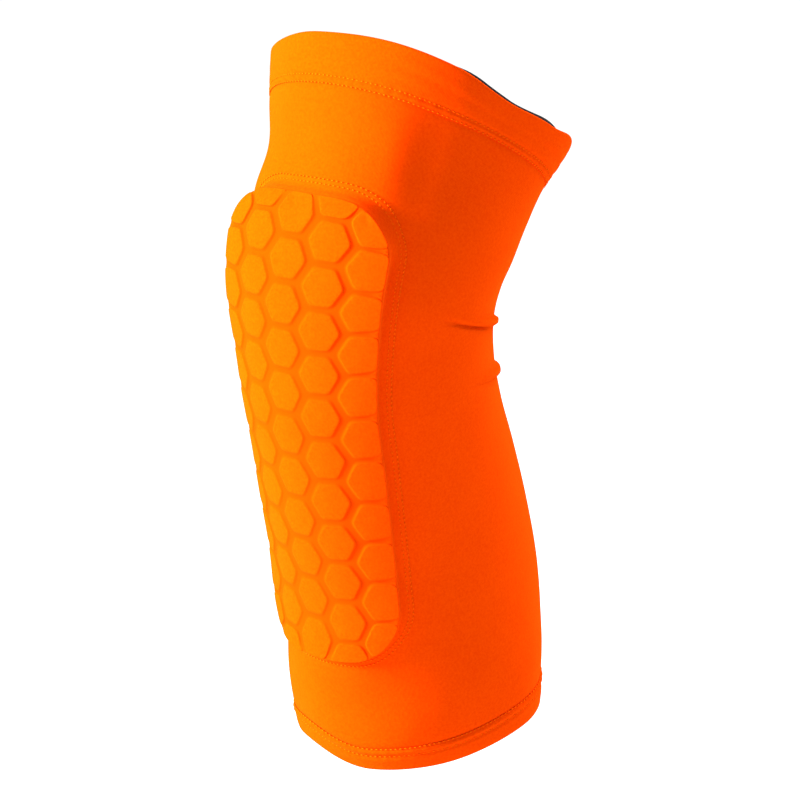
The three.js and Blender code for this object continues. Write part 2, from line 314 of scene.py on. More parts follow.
class KneePadColours(bpy.types.PropertyGroup):
    """Colours of the knee pad's finishes and of its floor."""

    knit: colour_property("Knit", "Knitted sleeve and hems", (0.87, 0.056, 0.0003))
    pad: colour_property("Pad", "Cover of the foam pad", (0.89, 0.059, 0.0003))
    # The thread is its own orange, made lighter than the knit as a painted highlight for the light its
    # stitches catch.
    thread: colour_property("Thread", "Sewing thread", (0.95, 0.11, 0.001))
    grip: colour_property("Grip", "Rubber strip inside the thigh hem", (0.012, 0.011, 0.012))
    floor: colour_property("Floor", "Studio floor", (0.3, 0.3, 0.3))


# The sleeve's surface


def sections_at(rows):
    """The section values at each row, on a smooth curve through the table."""
    ends = np.vstack([2 * SECTIONS[0] - SECTIONS[1], SECTIONS, 2 * SECTIONS[-1] - SECTIONS[-2]])
    first = np.clip(np.floor(rows).astype(int), 0, LAST_ROW - 1)
    before, start, end, after = (ends[first + step] for step in range(4))
    part = (rows - first)[:, None]
    slope = end - before
    bend = 2 * before - 5 * start + 4 * end - after
    twist = 3 * start - before - 3 * end + after
    return 0.5 * (2 * start + slope * part + bend * part**2 + twist * part**3)


def sleeve_points(rows, angles, lifts):
    """Points by section row, angle from the front and lift off the surface, in metres."""
    rows, angles, lifts = np.broadcast_arrays(*(np.asarray(x, float) for x in (rows, angles, lifts)))
    y, z, tilt, front, back, side = sections_at(rows).T
    tilt = np.radians(tilt)
    depth = np.where(np.cos(angles) > 0, front, back)
    normal = np.stack([np.sin(angles) / side, -np.cos(angles) / depth])
    normal = normal / np.linalg.norm(normal, axis=0)
    across = side * MM * np.sin(angles) + lifts * normal[0]
    along = -depth * MM * np.cos(angles) + lifts * normal[1]
    return np.stack([across, y * MM + along * np.cos(tilt), z * MM - along * np.sin(tilt)], axis=1)


def front_line(lift):
    """Rows and their lengths up the front of the sleeve from the shin rim."""
    rows = np.linspace(-0.5, LAST_ROW + 0.5, 40 * (LAST_ROW + 1) + 1)
    points = sleeve_points(rows, 0, lift)
    steps = np.linalg.norm(np.diff(points, axis=0), axis=1)
    lengths = np.concatenate([[0], np.cumsum(steps)])
    return rows, lengths - np.interp(0, rows, lengths)


CLOTH_ROWS, CLOTH_LENGTHS = front_line(0)
FRONT_LENGTH = float(np.interp(LAST_ROW, CLOTH_ROWS, CLOTH_LENGTHS))
ROLLS_LENGTH = float(np.interp(ROLLS_ROW, CLOTH_ROWS, CLOTH_LENGTHS))


def cloth_rows(lengths):
    """Section rows at lengths up the front of the cloth."""
    return np.interp(lengths, CLOTH_LENGTHS, CLOTH_ROWS)


def angles_across(rows, across, lifts):
    """Angles reached by going lengths round the sleeve from its front line."""
    turns = np.radians(np.arange(0, 86))
    count = len(turns)
    points = sleeve_points(np.repeat(rows, count), np.tile(turns, len(rows)), np.repeat(lifts, count))
    points = points.reshape(len(rows), count, 3)
    steps = np.linalg.norm(np.diff(points, axis=1), axis=2)
    lengths = np.concatenate([np.zeros((len(rows), 1)), np.cumsum(steps, axis=1)], axis=1)
    high = np.clip((lengths < np.abs(across)[:, None]).sum(axis=1), 1, count - 1)
    at = np.arange(len(rows))
    low_length = lengths[at, high - 1]
    part = (np.abs(across) - low_length) / (lengths[at, high] - low_length)
    return np.sign(across) * (turns[high - 1] + part * (turns[high] - turns[high - 1]))


def smooth_step(values, start, end):
    """Nought before start, one after end, and smooth between."""
    part = np.clip((values - start) / (end - start), 0, 1)
    return part * part * (3 - 2 * part)


def hump(distance):
    """A soft bump one wide to each side."""
    return np.where(np.abs(distance) < 1, np.cos(np.clip(distance, -1, 1) * math.pi / 2) ** 2, 0)


def roll_lift(rows, angles):
    """How far the rolls and creases behind the knee stand off the surface."""
    turn = np.degrees(np.arccos(np.cos(angles)))
    start, end = np.hypot(CLIMB, ROUND_BACK)
    climbed = (np.hypot(180 - turn, ROUND_BACK) - start) / (end - start)
    lift = np.zeros(np.broadcast(rows, angles).shape)
    for row, climb, half_rows, out, crease, roll_turns, crease_turns in ROLLS:
        above = (rows - row - climb * climbed) / half_rows
        blunt = 1 - np.clip(above, -1, 1) ** 4
        bump = out * blunt * smooth_step(turn, *roll_turns)
        open_share = smooth_step(turn, *crease_turns) - smooth_step(turn, *CREASE_CLOSES)
        dent = crease * hump((above + CREASE_BELOW) / CREASE_HALF) * np.maximum(open_share, 0)
        lift = lift + bump - dent
    return lift


def swell_lift(angles, lengths):
    """How far the cloth stands out where it widens, or in where it sinks."""
    turn = np.degrees(angles)
    lift = np.zeros(np.broadcast(angles, lengths).shape)
    for length, half_length, angle, (before, after), out in SWELLS:
        aside = (turn - angle) / np.where(turn < angle, before, after)
        lift = lift + out * hump(aside) * hump((lengths - length) / half_length)
    return lift


def rim_shift(sizes, angles, lengths):
    """How far the cloth is shifted up the sleeve by the waves of its two rims."""
    turn = np.degrees(angles)
    thigh = sum(up * hump((turn - angle) / half_width) for angle, half_width, up in THIGH_WAVES)
    shin = sum(up * hump((turn - angle) / half_width) for angle, half_width, up in SHIN_WAVES)
    near_thigh = smooth_step(lengths, FRONT_LENGTH - sizes.thigh_hem, FRONT_LENGTH)
    near_shin = 1 - smooth_step(lengths, sizes.shin_hem, sizes.shin_hem + SHIN_FADE)
    return thigh * near_thigh + (SHIN_LIFT + shin) * near_shin


# Building pieces


def mesh_of(bm, name):
    """Turns a bmesh into a mesh."""
    mesh = bpy.data.meshes.new(name)
    bm.to_mesh(mesh)
    bm.free()
    return mesh


def finish_piece(bm, name, material, replaces=()):
    """Turns a bmesh into an object that rides on the part."""
    for face in bm.faces:
        face.smooth = True
    mesh = mesh_of(bm, name)
    mesh.materials.append(material)
    piece = bpy.data.objects.new(name, mesh)
    bpy.context.scene.collection.objects.link(piece)
    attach(piece, "root")
    if replaces:
        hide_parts(*replaces)
    return piece


def move_points(bm, points):
    """Puts the bmesh's points at these places."""
    for vert, point in zip(bm.verts, points):
        vert.co = point


def wrapped_grid(around, up, width, height, place, spread=None):
    """A grid with its cloth lengths as UV, bent round into a tube by place and closed at the back.

    Spread gives the share of the height for each share of the grid's rows.
    """
    bm = bmesh.new()
    bmesh.ops.create_grid(bm, x_segments=around, y_segments=up, size=0.5)
    if spread:
        for vert in bm.verts:
            vert.co.y = spread(vert.co.y + 0.5) - 0.5
    layer = bm.loops.layers.uv.new("cloth")
    for face in bm.faces:
        for loop in face.loops:
            loop[layer].uv = (loop.vert.co.x * width, loop.vert.co.y * height)
    shares = np.array([vert.co[:2] for vert in bm.verts]) + 0.5
    move_points(bm, place(shares[:, 0], shares[:, 1]))
    bmesh.ops.remove_doubles(bm, verts=bm.verts, dist=0.001 * MM)
    return bm


def angle_of(share):
    """The angle from the front at a share round the sleeve, with the seam at the back."""
    return (share - 0.5) * 2 * math.pi


def seam_dip(distance):
    """How far a row of stitches pulls the cloth in."""
    return -SEAM_DEPTH * hump(distance / SEAM_HALF_WIDTH)


def sleeve_piece(sizes, colours):
    """The knitted sleeve, from under the shin hem to under the thigh hem."""
    low_seam = sizes.shin_hem
    high_seam = FRONT_LENGTH - sizes.thigh_hem
    low = low_seam - HEM_TUCK
    high = high_seam + HEM_TUCK

    def place(round_share, up_share):
        lengths = low + up_share * (high - low)
        angles = angle_of(round_share)
        rows = cloth_rows(lengths + rim_shift(sizes, angles, lengths))
        past = np.maximum(low_seam - lengths, lengths - high_seam)
        lifts = seam_dip(lengths - low_seam) + seam_dip(lengths - high_seam)
        lifts = np.where(past > 0, -SEAM_DEPTH - TUCK_SLOPE * past, lifts)
        return sleeve_points(rows, angles, lifts + roll_lift(rows, angles) + swell_lift(angles, lengths))

    fine = np.linspace(low, high, 800)
    density = 1 + ROLLS_CLOSER * hump((fine - ROLLS_LENGTH) / ROLLS_REACH)
    shares = np.concatenate([[0], np.cumsum(density[1:])])

    def spread(share):
        return float(np.interp(share * shares[-1], shares, (fine - low) / (high - low)))

    bm = wrapped_grid(*SLEEVE_FACES, sizes.sleeve_girth, high - low, place, spread)
    piece = finish_piece(bm, "sleeve_cloth", knit_material(sizes, colours), ["sleeve"])
    wall = piece.modifiers.new("wall", "SOLIDIFY")
    wall.thickness = sizes.sleeve_wall
    wall.offset = -1
    wall.use_even_offset = True


def hem_profile(sizes, height, rows, ridge):
    """Distances from the rim and lifts, along the outside to the rim, round it and back along the inside."""
    radius = sizes.hem_wall / 2
    middle = sizes.hem_proud - radius
    outside = np.linspace(height, radius, OUTSIDE_STEPS)
    belly = HEM_BELLY * np.sin(math.pi * (outside - radius) / (height - radius))
    between = hump((outside - sum(rows) / 2) / ((rows[0] - rows[1]) / 2))
    dips = sum(seam_dip(outside - row) for row in rows) + ridge * between
    turn = np.linspace(0, math.pi, RIM_STEPS)[1:-1]
    inside = np.linspace(radius, height, INSIDE_STEPS)
    distances = np.concatenate([outside, radius - radius * np.sin(turn), inside, outside[:1]])
    lifts = np.concatenate([
        sizes.hem_proud + belly + dips,
        middle + radius * np.cos(turn),
        np.full(len(inside), middle - radius),
        sizes.hem_proud + belly[:1] + dips[:1],
    ])
    return distances, lifts


def hem_piece(sizes, colours, name, height, at_thigh, rows, ridge):
    """One folded hem, with its cloth pulled in and puckered along its rows of stitches."""
    distances, lifts = hem_profile(sizes, height, rows, ridge)
    steps = np.arange(len(distances))

    def place(round_share, up_share):
        step = up_share * steps[-1]
        distance = np.interp(step, steps, distances)
        lift = np.interp(step, steps, lifts)
        angles = angle_of(round_share)
        near_rows = sum(hump((distance - row) / PUCKER_REACH) for row in rows)
        outside = step < OUTSIDE_STEPS
        pucker = PUCKER_DEPTH * np.sin(PUCKERS * angles + 3 * np.sin(5 * angles)) * near_rows * outside
        slack = hump((distance - height / 2) / (height / 2)) * outside
        drift = 1.5 * np.sin(2 * angles + 0.6) + np.sin(5 * angles)
        fading = 0.6 + 0.4 * np.sin(3 * angles + 1)
        ripple = RIPPLE_DEPTH * np.sin(RIPPLES_PER_METRE * distance + drift) * slack * fading
        flat = FRONT_LENGTH - distance if at_thigh else distance
        lengths = flat + rim_shift(sizes, angles, flat)
        return sleeve_points(cloth_rows(lengths), angles, lift + pucker + ripple + swell_lift(angles, flat))

    cloth_height = float(np.abs(np.diff(distances)).sum())
    bm = wrapped_grid(HEM_FACES, len(distances) - 1, sizes.sleeve_girth, cloth_height, place)
    bmesh.ops.recalc_face_normals(bm, faces=bm.faces)
    finish_piece(bm, name, knit_material(sizes, colours), [name.removesuffix("_cloth")])


def grip_piece(sizes, colours):
    """The rubber strip inside the thigh hem, with round edges."""
    outer = sizes.hem_proud - sizes.hem_wall + GRIP_SINK
    half_wall = sizes.grip_wall / 2
    half_height = sizes.grip_height / 2
    section = np.linspace(0, 2 * math.pi, GRIP_STEPS + 1)
    squared = np.abs(np.cos(section)) ** GRIP_SQUARENESS * np.sign(np.cos(section))
    middle_length = FRONT_LENGTH - sizes.grip_below_rim - half_height
    profile_lengths = middle_length + half_height * np.sin(section)
    profile_lifts = outer - half_wall + half_wall * squared
    steps = np.arange(len(section))

    def place(round_share, up_share):
        step = up_share * steps[-1]
        angles = angle_of(round_share)
        flat = np.interp(step, steps, profile_lengths)
        turn = np.degrees(angles)
        peek = sum(share * hump((turn - angle) / half_width) for angle, half_width, share in GRIP_PEEKS)
        upper_half = np.clip((flat - middle_length) / half_height, 0, 1)
        lengths = flat + rim_shift(sizes, angles, flat) + sizes.grip_peek * peek * upper_half
        lifts = np.interp(step, steps, profile_lifts) + swell_lift(angles, flat)
        return sleeve_points(cloth_rows(lengths), angles, lifts)

    bm = wrapped_grid(GRIP_FACES, GRIP_STEPS, sizes.sleeve_girth, 2 * sizes.grip_height, place)
    bmesh.ops.recalc_face_normals(bm, faces=bm.faces)
    finish_piece(bm, "grip_band", grip_material(colours), ["grip_strip"])


# The honeycomb pad. Places on it are lengths across and along from its middle.


def pad_height(sizes, along):
    """The foam's thickness at lengths along the pad."""
    share = along / sizes.pad_length + 0.5
    rounded = np.clip((along - sizes.pad_length / 2) / KNEE_ROUND + KNEE_ROUND_SHARE, 0, 1) ** 2
    height = sizes.shin_height + share * (sizes.knee_height - sizes.shin_height)
    return height * (1 - sizes.knee_taper * rounded)


def edge_distance(sizes, point):
    """How far a place lies inside the foam's outline."""
    reach = Vector((sizes.pad_half_width, sizes.pad_length / 2))
    past = [abs(value) - (most - sizes.pad_corner) for value, most in zip(point, reach)]
    outwards = math.hypot(max(past[0], 0), max(past[1], 0)) + min(max(past), 0)
    return sizes.pad_corner - FOAM_INSET - outwards


def groove_share(sizes, point):
    """The share of their depth that the grooves have at a place, as they run out at the foam's edge."""
    inside = float(smooth_step(edge_distance(sizes, point), 0, GROOVE_FADE))
    return EDGE_GROOVE + (1 - EDGE_GROOVE) * inside


def groove_height(sizes, point):
    """The height of the groove floor at a place."""
    return float(pad_height(sizes, point[1])) - sizes.groove_depth * groove_share(sizes, point)


def shin_end(sizes, along):
    """One at the foam's lip over the shin, and nought further up."""
    return 1 - smooth_step(along, -sizes.pad_length / 2, -sizes.pad_length / 2 + LIP_LENGTH)


def spring_lift(sizes, places):
    """How far the foam stands off the sleeve, as it resists the bend."""
    across, along, height = places.T
    share = np.clip(height / pad_height(sizes, along), 0, 1)
    rise = sizes.shin_rise + (sizes.knee_rise - sizes.shin_rise) * smooth_step(along, *RISE_ALONG)
    middle = 1 - (across / sizes.pad_half_width) ** 2
    flatness = sizes.pad_flatness * (1 - LIP_SHARE * middle * shin_end(sizes, along))
    return share * (rise - flatness * middle)


def pad_points(sizes, across, along, lifts):
    """Points on the sleeve for places on the pad."""
    line_rows, line_lengths = front_line(sizes.knee_height)
    rows = np.interp(sizes.pad_middle + along, line_lengths, line_rows)
    spread = PAD_SPREAD + sum(more * smooth_step(along, start, end) for more, start, end in SPREAD_STEPS)
    slide = PAD_SLIDE * (1 - smooth_step(along, *SLIDE_ENDS))
    angles = angles_across(rows, across * spread - slide, pad_height(sizes, along))
    lengths = np.interp(rows, CLOTH_ROWS, CLOTH_LENGTHS)
    return sleeve_points(rows, angles, lifts + swell_lift(angles, lengths))


def outline_point(sizes, point, outset):
    """The point of the pad's rounded outline, moved out by outset, that is nearest to a point."""
    inner = Vector((sizes.pad_half_width - sizes.pad_corner, sizes.pad_length / 2 - sizes.pad_corner))
    core = Vector(max(-reach, min(reach, value)) for value, reach in zip(point, inner))
    return core + (Vector(point[:2]) - core).normalized() * (sizes.pad_corner + outset)


def outline_loop(sizes, outset, pitch):
    """Places spread evenly round the pad's outline."""
    turn = np.linspace(0, 2 * math.pi, 361)
    radius = sizes.pad_corner + outset
    wide = sizes.pad_half_width - sizes.pad_corner
    high = sizes.pad_length / 2 - sizes.pad_corner
    across = np.sign(np.cos(turn)) * wide + radius * np.cos(turn)
    along = np.sign(np.sin(turn)) * high + radius * np.sin(turn)
    across = np.append(across, across[0])
    along = np.append(along, along[0])
    lengths = np.concatenate([[0], np.cumsum(np.hypot(np.diff(across), np.diff(along)))])
    marks = np.linspace(0, lengths[-1], round(lengths[-1] / pitch), endpoint=False)
    across = np.interp(marks, lengths, across)
    along = np.interp(marks, lengths, along)
    return across, along + sizes.lip_tuck * shin_end(sizes, along)


def cut_tiles(sizes):
    """Flat six-sided tiles that fill the pad's outline."""
    bm = bmesh.new()
    spacing = sizes.column_spacing
    shape = Matrix.Diagonal((spacing * 2 / 3, sizes.cell_pitch / math.sqrt(3), 1, 1))
    quarter_turn = Matrix.Rotation(math.pi / 2, 4, "Z")
    half_rows = math.ceil(sizes.pad_length / sizes.cell_pitch / 2)
    for column in range(-HALF_COLUMNS, HALF_COLUMNS + 1):
        shift = sizes.cell_pitch / 2 * (column % 2)
        for row in range(-half_rows, half_rows + 1):
            centre = Matrix.Translation((column * spacing, row * sizes.cell_pitch + shift, 0))
            matrix = centre @ shape @ quarter_turn
            bmesh.ops.create_circle(bm, cap_ends=True, segments=6, radius=1, matrix=matrix)
    bmesh.ops.remove_doubles(bm, verts=bm.verts, dist=0.01 * MM)
    radius = sizes.pad_corner - FOAM_INSET
    wide = sizes.pad_half_width - sizes.pad_corner
    high = sizes.pad_length / 2 - sizes.pad_corner
    for step in range(OUTLINE_CUTS):
        turn = step * 2 * math.pi / OUTLINE_CUTS
        out = Vector((math.cos(turn), math.sin(turn), 0))
        core = Vector((math.copysign(wide, out.x), math.copysign(high, out.y), 0))
        everything = [*bm.verts, *bm.edges, *bm.faces]
        bmesh.ops.bisect_plane(
            bm,
            geom=everything,
            dist=0.001 * MM,
            plane_co=core + out * radius,
            plane_no=out,
            clear_outer=True,
        )
    bmesh.ops.remove_doubles(bm, verts=bm.verts, dist=SHORTEST_EDGE)
    for cuts in range(1, 6):
        long_edges = [edge for edge in bm.edges if round(edge.calc_length() / USUAL_EDGE) - 1 == cuts]
        bmesh.ops.bisect_edges(bm, edges=long_edges, cuts=cuts)
    for vert in bm.verts:
        if vert.is_boundary:
            vert.co.xy = outline_point(sizes, vert.co, -FOAM_INSET)
        vert.co.z = groove_height(sizes, vert.co)
    for face in bm.faces:
        face.normal_update()
    bmesh.ops.reverse_faces(bm, faces=[face for face in bm.faces if face.normal.z < 0])
    return bm


def tile_reach(tile):
    """How far a tile can be inset before one of its edges is used up."""
    loss = {loop: 1 / math.tan(loop.calc_angle() / 2) for loop in tile.loops}
    shrinking = [loop for loop in tile.loops if loss[loop] + loss[loop.link_loop_next] > 0.01]
    return min(loop.edge.calc_length() / (loss[loop] + loss[loop.link_loop_next]) for loop in shrinking)


def raise_cells(bm, sizes, tiles):
    """Steps each tile inwards and up, from the groove floor to a slightly crowned top."""
    whole = sum(step for step, _ in CELL_STEPS) * MM
    # The groove layer holds painted shade for the cover: full on groove floors, less up the walls, none on
    # the tops.
    groove_shade_layer = bm.verts.layers.float.new("groove")
    for vert in {vert for tile in tiles for vert in tile.verts}:
        vert[groove_shade_layer] = groove_share(sizes, vert.co)
    for tile in tiles:
        share = min(1, REACH_USED * tile_reach(tile) / whole)
        if share < SMALLEST_SHARE:
            continue
        middle = tile.calc_center_median().y
        gap = 0
        for inwards, rise in CELL_STEPS:
            step = inwards * share * MM
            bmesh.ops.inset_individual(bm, faces=[tile], thickness=step, depth=0, use_even_offset=True)
            gap += step
            for vert in tile.verts:
                distance = edge_distance(sizes, vert.co)
                if not rise:
                    stretch = CELL_STRETCH * float(smooth_step(distance, *STRETCH_FADE))
                    vert.co.y += stretch * (vert.co.y - middle)
                    distance = edge_distance(sizes, vert.co)
                near = 1 - float(smooth_step(distance, gap, gap + EDGE_REACH))
                if near > 0:
                    outset = -FOAM_INSET - distance * (1 - near + near * EDGE_KEEP)
                    vert.co.xy = outline_point(sizes, vert.co, outset)
                floor = groove_height(sizes, vert.co)
                vert.co.z = floor + rise * (pad_height(sizes, vert.co.y) - floor)
                vert[groove_shade_layer] = (1 - rise**2) * groove_share(sizes, vert.co)
            gap *= EDGE_KEEP
    bmesh.ops.poke(bm, faces=tiles, offset=CELL_CROWN)


def sew_margin(bm, sizes, edges):
    """Runs the cover down from the foam's edge to the sleeve and back under the foam."""
    groove_shade_layer = bm.verts.layers.float["groove"]
    under = (-FOAM_INSET / MM, 0.0, 0.0, BACK_LIFT / MM)
    for outset, side, stretched, lift in (*MARGIN_RINGS, under):
        grown = bmesh.ops.extrude_edge_only(bm, edges=edges)["geom"]
        edges = [item for item in grown if isinstance(item, bmesh.types.BMEdge)]
        for vert in (item for item in grown if isinstance(item, bmesh.types.BMVert)):
            vert.co.xy = outline_point(sizes, vert.co, outset * MM)
            tuck = sizes.lip_tuck * min(1, max(0, outset * MM / PAD_ROWS[0]))
            vert.co.y += tuck * float(shin_end(sizes, vert.co.y))
            knee_end = float(smooth_step(vert.co.y, *KNEE_END))
            share = side + knee_end * (stretched - side)
            vert.co.z = share * pad_height(sizes, vert.co.y) + lift * MM
            # The margin gets no painted groove shade.
            vert[groove_shade_layer] = 0
    bmesh.ops.remove_doubles(bm, verts=bm.verts, dist=0.01 * MM)


def pad_piece(sizes, colours):
    """The moulded foam pad with its honeycomb of raised cells, its sewn margin and its back."""
    bm = cut_tiles(sizes)
    tiles = list(bm.faces)
    copied = bmesh.ops.duplicate(bm, geom=tiles)["geom"]
    back = [item for item in copied if isinstance(item, bmesh.types.BMFace)]
    for vert in {vert for face in back for vert in face.verts}:
        vert.co.z = BACK_LIFT
    bmesh.ops.reverse_faces(bm, faces=back)
    bmesh.ops.poke(bm, faces=back)
    raise_cells(bm, sizes, tiles)
    rim = [edge for edge in bm.edges if edge.is_boundary and edge.verts[0].co.z > sizes.groove_depth]
    sew_margin(bm, sizes, rim)
    layer = bm.loops.layers.uv.new("cloth")
    for face in bm.faces:
        for loop in face.loops:
            loop[layer].uv = loop.vert.co.xy
    places = np.array([vert.co for vert in bm.verts])
    across, along, height = places.T
    move_points(bm, pad_points(sizes, across, along, height + spring_lift(sizes, places)))
    bmesh.ops.recalc_face_normals(bm, faces=bm.faces)
    piece = finish_piece(bm, "foam_pad", pad_material(sizes, colours), ["honeycomb_pad"])
    smooth = piece.modifiers.new("smooth", "SUBSURF")
    smooth.levels = 1
    smooth.render_levels = 1


# Stitches


def stitch_mesh(sizes):
    """One stitch at the origin, lying along X."""
    bm = bmesh.new()
    thread = Matrix.Diagonal((sizes.stitch_length / 2, sizes.thread_width / 2, sizes.thread_width / 2, 1))
    bmesh.ops.create_uvsphere(bm, u_segments=6, v_segments=4, radius=1, matrix=thread)
    return mesh_of(bm, "stitch")


def add_stitches(bm, stitch, points, above):
    """Lays a closed row of stitches along points, standing up towards the points above."""
    ahead = np.roll(points, -1, axis=0) - np.roll(points, 1, axis=0)
    for point, along, up in zip(points, ahead, above - points):
        lengthwise = Vector(along).normalized()
        outwards = Vector(up).normalized()
        sideways = outwards.cross(lengthwise)
        turn = Matrix((lengthwise, sideways, outwards)).transposed().to_4x4()
        laid = stitch.copy()
        laid.transform(Matrix.Translation(point) @ turn)
        bm.from_mesh(laid)
        bpy.data.meshes.remove(laid)


def hem_stitches(bm, stitch, sizes, length, lift):
    """One row of stitches round a hem."""
    fine = np.linspace(-math.pi, math.pi, 721)
    flat = np.full(len(fine), length)
    lengths = flat + rim_shift(sizes, fine, flat)
    lifts = lift + swell_lift(fine, flat)
    line = sleeve_points(cloth_rows(lengths), fine, lifts)
    run = np.concatenate([[0], np.cumsum(np.linalg.norm(np.diff(line, axis=0), axis=1))])
    marks = np.linspace(0, run[-1], round(run[-1] / sizes.stitch_pitch), endpoint=False)
    angles = np.interp(marks, run, fine)
    rows = cloth_rows(np.interp(marks, run, lengths))
    lifts = np.interp(marks, run, lifts)
    add_stitches(bm, stitch, sleeve_points(rows, angles, lifts), sleeve_points(rows, angles, lifts + MM))


def stitch_pieces(sizes, colours):
    """The twin rows of stitches on both hems and round the pad."""
    thread = thread_material(colours)
    stitch = stitch_mesh(sizes)
    bm = bmesh.new()
    for row in THIGH_ROWS:
        hem_stitches(bm, stitch, sizes, FRONT_LENGTH - row, HEM_THREAD)
    finish_piece(bm, "thigh_hem_stitches", thread)
    bm = bmesh.new()
    for row in SHIN_ROWS:
        hem_stitches(bm, stitch, sizes, row, HEM_THREAD)
    finish_piece(bm, "shin_hem_stitches", thread)
    bm = bmesh.new()
    for outset in PAD_ROWS:
        across, along = outline_loop(sizes, outset, sizes.stitch_pitch)
        points = pad_points(sizes, across, along, PAD_THREAD)
        add_stitches(bm, stitch, points, pad_points(sizes, across, along, PAD_THREAD + MM))
    finish_piece(bm, "pad_stitches", thread)
    bpy.data.meshes.remove(stitch)


# Materials


SHEEN = (1.0, 0.3, 0.02)


class Value:
    """A shader socket that takes part in Python sums: each sum adds a Math node."""

    def __init__(self, socket):
        self.socket = socket
        self.tree = socket.id_data

    def node(self, kind, settings, sockets, output=0):
        """Adds a node with its settings and its sockets' values or links, and returns one output."""
        node = self.tree.nodes.new(kind)
        for name, setting in settings.items():
            setattr(node, name, setting)
        for name, value in sockets.items():
            if isinstance(value, Value):
                self.tree.links.new(value.socket, node.inputs[name])
            else:
                node.inputs[name].default_value = value
        return Value(node.outputs[output])

    def maths(self, operation, *values):
        """One Math node on these values."""
        return self.node("ShaderNodeMath", {"operation": operation}, dict(enumerate(values)))

    def __add__(self, other):
        return self.maths("ADD", self, other)

    def __sub__(self, other):
        return self.maths("SUBTRACT", self, other)

    def __mul__(self, other):
        return self.maths("MULTIPLY", self, other)

    def __truediv__(self, other):
        return self.maths("DIVIDE", self, other)

    def __abs__(self):
        return self.maths("ABSOLUTE", self)

    def __radd__(self, other):
        return self.maths("ADD", other, self)

    def __rsub__(self, other):
        return self.maths("SUBTRACT", other, self)

    def __rmul__(self, other):
        return self.maths("MULTIPLY", other, self)

    def __rtruediv__(self, other):
        return self.maths("DIVIDE", other, self)

    def part(self):
        """What is left of the value after its whole number."""
        return self.maths("FRACT", self)

    def axis(self, name):
        """One part of a vector."""
        index = "XYZ".index(name)
        return self.node("ShaderNodeSeparateXYZ", {}, {"Vector": self}, index)

    def noise(self, scale, detail):
        """Smooth noise from nought to one at these coordinates."""
        return self.node("ShaderNodeTexNoise", {}, {"Vector": self, "Scale": scale, "Detail": detail})

    def mixed(self, first, second):
        """The first colour where this is nought and the second where it is one."""
        sockets = {"Factor": self, 6: first, 7: second}
        return self.node("ShaderNodeMix", {"data_type": "RGBA"}, sockets, 2)

    def bump(self, strength, distance):
        """A normal from this height."""
        return self.node("ShaderNodeBump", {}, {"Height": self, "Strength": strength, "Distance": distance})


def new_material(name, constants):
    """A material with its shader's constant sockets set, its shader and its coordinates node."""
    material = bpy.data.materials.new(name)
    material.use_nodes = True
    tree = material.node_tree
    shader = tree.nodes["Principled BSDF"]
    for socket, value in constants.items():
        shader.inputs[socket].default_value = value
    coordinates = tree.nodes.new("ShaderNodeTexCoord")
    return material, shader, coordinates


def plug(shader, sockets):
    """Links values to a shader's sockets."""
    for name, value in sockets.items():
        value.tree.links.new(value.socket, shader.inputs[name])


def shaded(colour, share, red_share=None):
    """A colour made lighter or darker, its red by a share of its own where one is given."""
    red, green, blue = colour
    return (min(1, red * (red_share or share)), min(1, green * share), min(1, blue * share), 1)


def knit_loops(sizes, cloth):
    """The height of plain knitted loops: columns of leaning stitches."""
    across = cloth.axis("X") / sizes.wale_width
    up = cloth.axis("Y") / sizes.course_height
    lean = abs(across.part() - 0.5) * 2
    column = 1 - abs(lean - 0.5) * 2
    course = abs((up + lean * 0.7).part() - 0.5) * 2
    return column * 0.55 + course * 0.45


def cloth_finish(name, sizes, colour, strength, grooves=False):
    """Matte knitted cloth: loops, fuzz and slightly uneven dye, with painted shade in the pad's grooves."""
    constants = {
        "Specular IOR Level": 0.0,
        "Sheen Weight": 0.2,
        "Sheen Roughness": 0.4,
        "Sheen Tint": (*SHEEN, 1),
    }
    material, shader, coordinates = new_material(name, constants)
    cloth = Value(coordinates.outputs["UV"])
    place = Value(coordinates.outputs["Object"])
    loops = knit_loops(sizes, cloth)
    fuzz = place.noise(900, 4)
    dye = place.noise(38, 3)
    tone = loops * 0.25 + fuzz * 0.6 + dye * 0.15
    height = loops + fuzz * 0.8
    dyed = tone.mixed(shaded(colour, 0.4, 0.86), shaded(colour, 1.6, 1.14))
    # Painted shade: the cover is darkened by the groove layer, on the groove floors and up their walls.
    if grooves:
        depth = cloth.node("ShaderNodeAttribute", {"attribute_name": "groove"}, {}, "Fac")
        dyed = depth.mixed(dyed, shaded(colour, 0.77, 0.84))
    plug(shader, {
        "Base Color": dyed,
        "Roughness": 0.8 + fuzz * 0.15,
        "Normal": height.bump(strength, 0.12 * MM),
    })
    return material


def knit_material(sizes, colours):
    """The sleeve's and hems' knit."""
    made = bpy.data.materials.get("orange_knit")
    return made or cloth_finish("orange_knit", sizes, colours.knit, 0.5)


def pad_material(sizes, colours):
    """The finer knit stretched over the foam, with painted shade in its grooves."""
    return cloth_finish("pad_cover", sizes, colours.pad, 0.35, True)


def thread_material(colours):
    """Sewing thread with its twist, its own orange made lighter as a painted highlight."""
    constants = {"Specular IOR Level": 0.0, "Sheen Weight": 0.25, "Sheen Tint": (*SHEEN, 1)}
    material, shader, coordinates = new_material("sewing_thread", constants)
    place = Value(coordinates.outputs["Object"])
    twist = place.noise(3200, 1)
    plug(shader, {
        "Base Color": twist.mixed(shaded(colours.thread, 0.85), shaded(colours.thread, 1.1)),
        "Roughness": 0.6 + twist * 0.2,
        "Normal": twist.bump(0.4, 0.05 * MM),
    })
    return material


